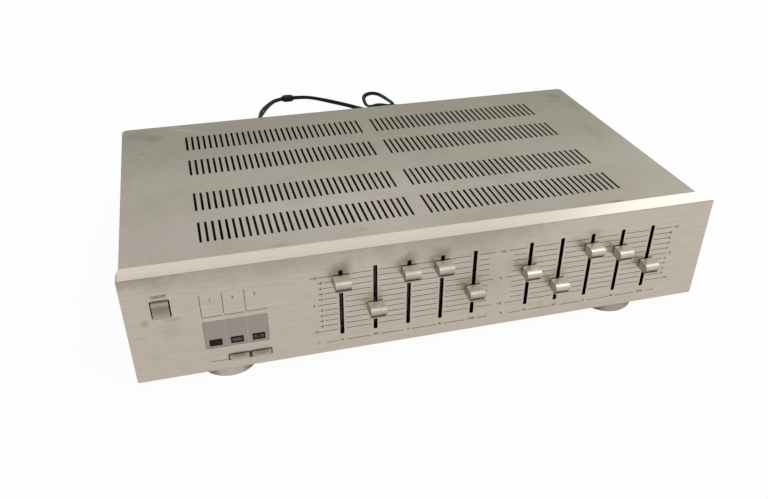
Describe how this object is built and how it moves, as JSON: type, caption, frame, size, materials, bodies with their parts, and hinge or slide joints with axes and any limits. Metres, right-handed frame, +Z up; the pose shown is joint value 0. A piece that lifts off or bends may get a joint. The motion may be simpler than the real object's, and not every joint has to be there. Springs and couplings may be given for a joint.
{
  "type": "graphic equalizer",
  "caption": "Low stereo graphic equalizer: brushed face with vertical sliders, push buttons and a small window, slotted metal cover, round feet, rear jacks and a captive lead.",
  "frame": {"origin": "on the surface the feet stand on, at the middle of the width and halfway between the knobs' noses and the ends of the rear jacks, without the free lead", "axes": "+X to the right seen from the front, +Y towards the back, +Z up; the face looks along -Y"},
  "size_m": [0.44, 0.5596, 0.0944],
  "materials": {
    "front_panel": "horizontally brushed, clear anodised",
    "panel_end": "satin",
    "top_cover": "fine metallic paint, satin",
    "base_pan": "plated",
    "mounting_plate": "plated",
    "rear_panel": "satin",
    "foot": "satin",
    "knob": "metallised, satin",
    "lever": "plated",
    "button": "metallised, satin",
    "indicator_window": "satin",
    "legend_plates": "smoked",
    "pot_can": "plated",
    "board": "phenolic board",
    "chips": "matt",
    "capacitors": "sleeved cans",
    "transformer_core": "varnished laminations",
    "transformer_coil": "taped winding",
    "mains_inlet": "black",
    "jack_block": "phenolic",
    "contact": "plated",
    "switch": "black",
    "screw": "plated",
    "lead": "soft vinyl",
    "moulding": "moulded vinyl"
  },
  "bodies": {
    "chassis": {"base_pan": "base_pan", "capacitors": "capacitors", "chips": "chips", "cover_screws": "screw", "foot_front_left": "foot", "foot_front_right": "foot", "foot_rear_left": "foot", "foot_rear_right": "foot", "foot_screws": "screw", "front_panel": "front_panel", "function_switches": "switch", "indicator_window": "indicator_window", "jack_block": "jack_block", "jack_shells": "contact", "lead_gland": "moulding", "legend_plates": "legend_plates", "main_board": "board", "mains_inlet": "mains_inlet", "mounting_plate": "mounting_plate", "panel_end_left": "panel_end", "panel_end_right": "panel_end", "plug_contacts": "contact", "plug_left": "moulding", "plug_right": "moulding", "power_switch": "switch", "rear_panel": "rear_panel", "rear_screws": "screw", "signal_lead": "lead", "slide_pots_left": "pot_can", "slide_pots_right": "pot_can", "slider_board": "board", "splitter_sleeve": "moulding", "tail_left": "lead", "tail_right": "lead", "top_cover": "top_cover", "transformer_coil": "transformer_coil", "transformer_core": "transformer_core"},
    "slider_l60": {"lever_l60": "lever", "knob_l60": "knob"},
    "slider_l250": {"lever_l250": "lever", "knob_l250": "knob"},
    "slider_l1k": {"lever_l1k": "lever", "knob_l1k": "knob"},
    "slider_l4k": {"lever_l4k": "lever", "knob_l4k": "knob"},
    "slider_l12k": {"lever_l12k": "lever", "knob_l12k": "knob"},
    "slider_r60": {"lever_r60": "lever", "knob_r60": "knob"},
    "slider_r250": {"lever_r250": "lever", "knob_r250": "knob"},
    "slider_r1k": {"lever_r1k": "lever", "knob_r1k": "knob"},
    "slider_r4k": {"lever_r4k": "lever", "knob_r4k": "knob"},
    "slider_r12k": {"lever_r12k": "lever", "knob_r12k": "knob"},
    "power_button": {"power_button": "button"},
    "function_button_left": {"function_button_left": "button"},
    "function_button_right": {"function_button_right": "button"}
  },
  "joints": [
    {"name": "slider_l60_slide", "type": "slide", "parent": "chassis", "child": "slider_l60", "axis": [0, 0, 1], "range_m": [-0.0427, 0.0023]},
    {"name": "slider_l250_slide", "type": "slide", "parent": "chassis", "child": "slider_l250", "axis": [0, 0, 1], "range_m": [-0.0162, 0.0288]},
    {"name": "slider_l1k_slide", "type": "slide", "parent": "chassis", "child": "slider_l1k", "axis": [0, 0, 1], "range_m": [-0.0427, 0.0023]},
    {"name": "slider_l4k_slide", "type": "slide", "parent": "chassis", "child": "slider_l4k", "axis": [0, 0, 1], "range_m": [-0.0427, 0.0023]},
    {"name": "slider_l12k_slide", "type": "slide", "parent": "chassis", "child": "slider_l12k", "axis": [0, 0, 1], "range_m": [-0.01745, 0.02755]},
    {"name": "slider_r60_slide", "type": "slide", "parent": "chassis", "child": "slider_r60", "axis": [0, 0, 1], "range_m": [-0.02745, 0.01755]},
    {"name": "slider_r250_slide", "type": "slide", "parent": "chassis", "child": "slider_r250", "axis": [0, 0, 1], "range_m": [-0.0117, 0.0333]},
    {"name": "slider_r1k_slide", "type": "slide", "parent": "chassis", "child": "slider_r1k", "axis": [0, 0, 1], "range_m": [-0.03895, 0.00605]},
    {"name": "slider_r4k_slide", "type": "slide", "parent": "chassis", "child": "slider_r4k", "axis": [0, 0, 1], "range_m": [-0.03295, 0.01205]},
    {"name": "slider_r12k_slide", "type": "slide", "parent": "chassis", "child": "slider_r12k", "axis": [0, 0, 1], "range_m": [-0.01745, 0.02755]},
    {"name": "power_push", "type": "slide", "parent": "chassis", "child": "power_button", "axis": [0, 1, 0], "range_m": [0, 0.0035], "stiffness_N_per_m": 300, "springref_m": -0.002},
    {"name": "function_left_push", "type": "slide", "parent": "chassis", "child": "function_button_left", "axis": [0, 1, 0], "range_m": [0, 0.0025], "stiffness_N_per_m": 300, "springref_m": -0.002},
    {"name": "function_right_push", "type": "slide", "parent": "chassis", "child": "function_button_right", "axis": [0, 1, 0], "range_m": [0, 0.0025], "stiffness_N_per_m": 300, "springref_m": -0.002}
  ]
}
